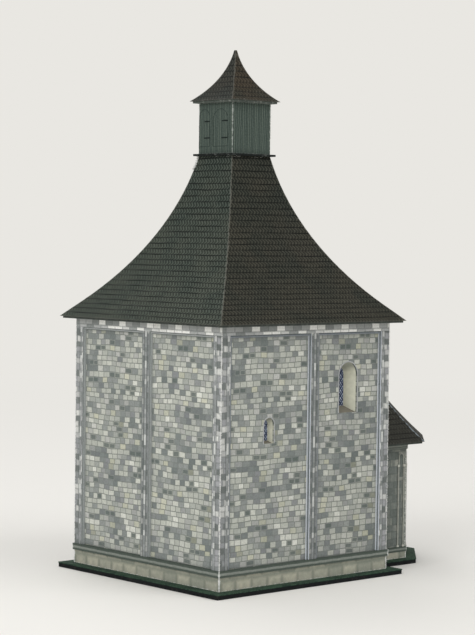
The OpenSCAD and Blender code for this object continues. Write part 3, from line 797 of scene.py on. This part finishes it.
def dress_nave():
    """Walls, strips, plinths and mouldings of the nave, its windows and its portal."""
    long_middles, west_middles = [MIDDLE_EAST], [0.0]
    # Painted light: the west copies are made lighter, and the long sides' strips darker, as more light falls
    # on the west side.
    dress(["south_wall", "north_wall"], field_stone("printed rubble stone, long sides", "X", long_middles))
    dress(["west_wall"], field_stone("printed rubble stone, west, painted lighter", "Y", west_middles, 1.03))
    dress(["east_wall"], field_stone("printed rubble stone, east", "Y", []))
    # The long sides' cut edges are bare white card; the west and east ones are painted grey as shade.
    dress(["south_frame", "north_frame"],
          strip_stone("printed block strips, long sides, painted darker", "X", long_middles, "#dde3ea", SOUTH_STEPS, 0.93))
    dress(["west_frame"],
          strip_stone("printed block strips, west, painted lighter", "Y", west_middles, "#a6abaa", WEST_STEPS, 1.06))
    dress(["east_frame"], strip_stone("printed block strips, east", "Y", [], "#a6abaa", WEST_STEPS, 1.0))
    dress(["west_plinth", "south_plinth", "east_plinth", "north_plinth", "portal_rim"],
          plinth_stone("printed plinth blocks"))
    dress(["west_moulding", "south_moulding", "east_moulding", "north_moulding"],
          banded("printed moulding lines", *extent("west_moulding", 2), MOULDING_LINES))
    dress(["south_window_reveal", "north_window_reveal", "south_slit_reveal", "north_slit_reveal"],
          reveal_card("cream lining card with painted shade"))
    dress(["south_glazing", "north_glazing"], window_print("printed leaded glass with painted jamb shadow"))
    dress(["portal_door"], door_boards("printed door boards"))


def dress_apse():
    """Wall, plinth, moulding, cornice and roof of the apse."""
    dress(["apse_wall"], apse_card("printed apse stone with painted shadow"))
    dress(["apse_plinth"], plinth_stone("printed apse plinth blocks", round_apse=True))
    dress(["apse_moulding"],
          banded("printed apse moulding lines", *extent("apse_moulding", 2), MOULDING_LINES, round_apse=True))
    dress(["apse_cornice"],
          banded("printed apse cornice lines", *extent("apse_cornice", 2), CORNICE_LINES, round_apse=True))
    dress(["apse_roof"],
          shingles("printed apse roof shingles", *APSE_SLOPE, APSE_PRINT, 4.0, 0.95, 0.6, round_apse=True))


def dress_roofs_and_base():
    """The main roof, the lantern, the plates and the base."""
    dress(["base_board"], dark_card("black base board card", "#16191a", "#332e2c"))
    dress(["grass_sheet"], printed_grass("printed grass card"))
    dress(["west_roof", "north_roof"],
          shingles("printed green-grey shingles", *MAIN_SLOPE, GREENISH, 1.0, 0.75, 0.79))
    dress(["south_roof", "east_roof"],
          shingles("printed brown-grey shingles", *MAIN_SLOPE, BROWNISH, 2.0, 0.75, 0.75))
    dress(["west_spire", "north_spire"],
          shingles("printed grey lantern shingles", *SPIRE_SLOPE, GREYER, 3.0, 0.55, 0.72))
    dress(["south_spire", "east_spire"],
          shingles("printed brown lantern shingles", *SPIRE_SLOPE, BROWNER, 3.5, 0.55, 0.74))
    dress(["lantern_floor"], dark_card("black lantern floor card", "#1a1e1d", "#5a5e5a"))
    dress(["roof_plate", "apse_roof_plate"], dark_card("grey-green plate card", "#4a4f4b", "#62665f"))
    dress(["lantern_ceiling"], dark_card("worn plate card", "#59605a", "#a5a8a2"))
    dress(["lantern_walls"], boards("printed board card"))


# ---- The church's added pieces ---------------------------------------------

def make_shutters():
    """Shutters printed on the lantern's west face, repeated on its east face: outlines and hinge straps."""
    ink = mottled("black print ink", "#161b1a", "#242b29", 1.2, gloss=0.12)
    outline_ink = mottled("thin dark print line", "#2b3431", "#38423e", 1.2, gloss=0.12)
    foot, height, line = LANTERN_FOOT + 1.9, 9.1, 0.15
    half = 0.16
    straps, outlines = [], []
    for turn in (WEST, EAST):
        for u, w in ((-4.2, 4.0), (1.85, 5.8)):
            outlines.append((hoop(u, foot, w - 2 * line, height, line), turn, LANTERN + 0.03, 0.05, 0.0))
            sill = rect(u - w / 2, u + w / 2, foot - line, foot)
            outlines.append((sill, turn, LANTERN + 0.03, 0.05, 0.0))
        for u0, u1, rise in ((-4.27, -2.17, 8.08), (-4.39, -2.1, 3.97), (2.38, 4.63, 8.11),
                             (2.27, 4.52, 3.9)):
            z = LANTERN_FOOT + rise
            upper = [(u1, z + half), (u0 + 0.25, z + half), (u0, z + 0.1)]
            lower = [(u, 2 * z - v) for u, v in reversed(upper)]
            straps.append((lower + upper, turn, LANTERN + 0.06, 0.07, 0.0))
    sheets("shutter_outlines", outlines, outline_ink)
    sheets("hinge_straps", straps, ink)


def make_window_rims():
    """Thin pale rims of cut card round the windows."""
    rims = []
    for turn, mirror in ((SOUTH, 1), (NORTH, -1)):
        for u, z, w, h in ((WINDOW_X, WINDOW_Z, WINDOW_W, WINDOW_H), (SLIT_X, SLIT_Z, SLIT_W, SLIT_H)):
            rims.append((hoop(u * mirror, z, w, h, 0.28), turn, FIELD + 0.04, 0.05, 0.0))
    sheets("window_rims", rims, mottled("lilac-grey cut card", "#949697", "#abadad", 0.8))


def lattice_lines(middle, low, high, half, y):
    """Slanting lines both ways across an upright oblong of glass, cut at its foot and head."""
    lines = []
    rise = 2 * half * PANE_H / PANE_W
    steps = int((high - low + rise) / (2 * PANE_H)) + 1
    for way in (1, -1):
        slope = way * PANE_H / PANE_W
        for i in range(steps):
            start_z = low + 2 * PANE_H * i - (rise if way > 0 else 0.0)
            ends = []
            for across in (0.0, 2 * half):
                z = start_z + slope * across
                kept = min(max(z, low), high)
                ends.append((middle - half + across + (kept - z) / slope, y, kept))
            if abs(ends[0][0] - ends[1][0]) > 0.1 and abs(ends[1][2] - ends[0][2]) > 0.1:
                lines.append(ends)
    return lines


def make_lattice():
    """The lead lattice just in front of the panes of each window."""
    lines = []
    # Each opening's panes: middle, foot, head, half width, and how far they lie from the nave's middle.
    panes = (WINDOW_X, 42.9, 52.3, 1.65, 23.95), (SLIT_X, 35.9, 40.6, 0.95, 25.65)
    for side in (-1, 1):
        for middle, low, high, half, out in panes:
            lines += lattice_lines(middle, low, high, half, side * out)
    lead = mottled("dark lead print", "#27324c", "#34405f", 1.5)
    grown("window_lattice", bars_group(), lines, lead, "glazing", Thickness=0.09 * MM)


def make_arcade():
    """Blind arcade on the apse: an arched niche beside each fold, between thin shafts with pale heads."""
    foot, head, head_t = 4.7, 25.2, 0.55
    niche_w = 1.3
    niches, shafts, heads = [], [], []
    for turn in (0, 45, 90, 135, 180):
        for side in (-1, 1):
            # The sides that meet the nave have no fold there.
            if (turn == 0 and side < 0) or (turn == 180 and side > 0):
                continue
            u = side * (APSE_FACE * HALF_TURN - 2.0)
            niches.append((arch_line(u, 22.5, niche_w, 6.0), turn, APSE_FACE + 0.03, 0.05, APSE_X))
            shafts.append((hoop(u, 25.6, niche_w, 2.9, 0.28), turn, APSE_FACE + 0.12, 0.14, APSE_X))
            for shaft in (u - 1.0, u + 1.0):
                stem = rect(shaft - 0.22, shaft + 0.22, foot, head)
                shafts.append((stem, turn, APSE_FACE + 0.18, 0.2, APSE_X))
                for half, low, high in ((0.38, head, head + head_t), (0.34, APSE_WALL_FOOT, foot)):
                    block = rect(shaft - half, shaft + half, low, high)
                    heads.append((block, turn, APSE_FACE + 0.24, 0.26, APSE_X))
    niche_print = mottled("dark niche print", "#565d59", "#676e69", 0.9)
    shaft_print = mottled("pale shaft print", "#858982", "#9fa097", 0.7)
    head_print = mottled("pale shaft head print", "#b3b3a8", "#c9c9bf", 0.7)
    sheets("apse_niches", niches, niche_print)
    sheets("apse_shafts", shafts, shaft_print)
    sheets("apse_shaft_heads", heads, head_print)


def make_torn_card():
    """Torn white card fibres along the folds, the foot of the plinth, the hips and the lantern."""
    bare = mottled("torn bare card", "#d3d4d1", "#e2e3e0", 1.5)
    rubbed = mottled("rubbed grey card", "#8b8d87", "#a3a59f", 1.5)
    tree = torn_fibres_group()
    corners = [(-1, -1), (1, -1), (1, 1), (-1, 1)]
    slope = slope_line(*MAIN_SLOPE)

    def upright(half, low, high):
        return [[(x * half, y * half, low), (x * half, y * half, high)] for x, y in corners]

    def level(half, z):
        sides = zip(corners, corners[1:] + corners[:1])
        return [[(x * half, y * half, z), (a * half, b * half, z)] for (x, y), (a, b) in sides]

    half_side = APSE_FACE * HALF_TURN
    apse_folds = [[(APSE_X + x, y, APSE_WALL_FOOT + 0.15), (APSE_X + x, y, CORNICE_Z - 0.15)] for x, y in (
        (half_side, -APSE_FACE), (APSE_FACE, -half_side), (APSE_FACE, half_side), (half_side, APSE_FACE))]
    hips = [[(x * (r - 0.05), y * (r - 0.05), z - 0.05) for r, z in slope[1:]] for x, y in corners]
    chip = [(-r, r, z) for r, z in slope if z > 101.0]
    # Each piece: its lines, material and slot, then spacing, length, thickness, spread, clumps and seed.
    for name, lines, material, slot, spacing, length, thickness, spread, clumps, seed in (
            ("fold_fibres", upright(FACE, GRASS_Z + 0.1, 61.4), bare, "strips",
             0.09, 0.42, 0.045, 0.06, 0.44, 3),
            ("foot_fibres", level(FACE + 0.05, GRASS_Z + 0.12), bare, "plinth",
             0.16, 0.4, 0.05, 0.1, 0.48, 5),
            ("lantern_fibres", upright(LANTERN, LANTERN_FOOT + 0.1, LANTERN_TOP - 0.1), rubbed, "boards",
             0.09, 0.3, 0.04, 0.05, 0.46, 7),
            ("apse_fibres", apse_folds, bare, "apse_stone", 0.1, 0.4, 0.05, 0.08, 0.47, 9),
            ("hip_fibres", hips, rubbed, "roof_south", 0.16, 0.34, 0.04, 0.06, 0.53, 11),
            ("roof_top_fibres", level(6.6, 104.35), bare, "roof_west", 0.1, 0.34, 0.04, 0.06, 0.55, 13),
            ("worn_hip_chip", [chip], bare, "roof_west", 0.02, 0.6, 0.14, 0.2, 0.35, 15),
            ("brim_fibres", level(8.0, 118.42), rubbed, "spire", 0.1, 0.26, 0.035, 0.04, 0.53, 17)):
        grown(name, tree, lines, material, slot, Spacing=spacing * MM, Length=length * MM,
              Thickness=thickness * MM, Spread=spread * MM, Clumps=clumps, Seed=seed)


make_camera()
make_studio()
bpy.context.scene.view_settings.view_transform = "Standard"
dress_nave()
dress_apse()
dress_roofs_and_base()
make_shutters()
make_window_rims()
make_lattice()
make_arcade()
make_torn_card()
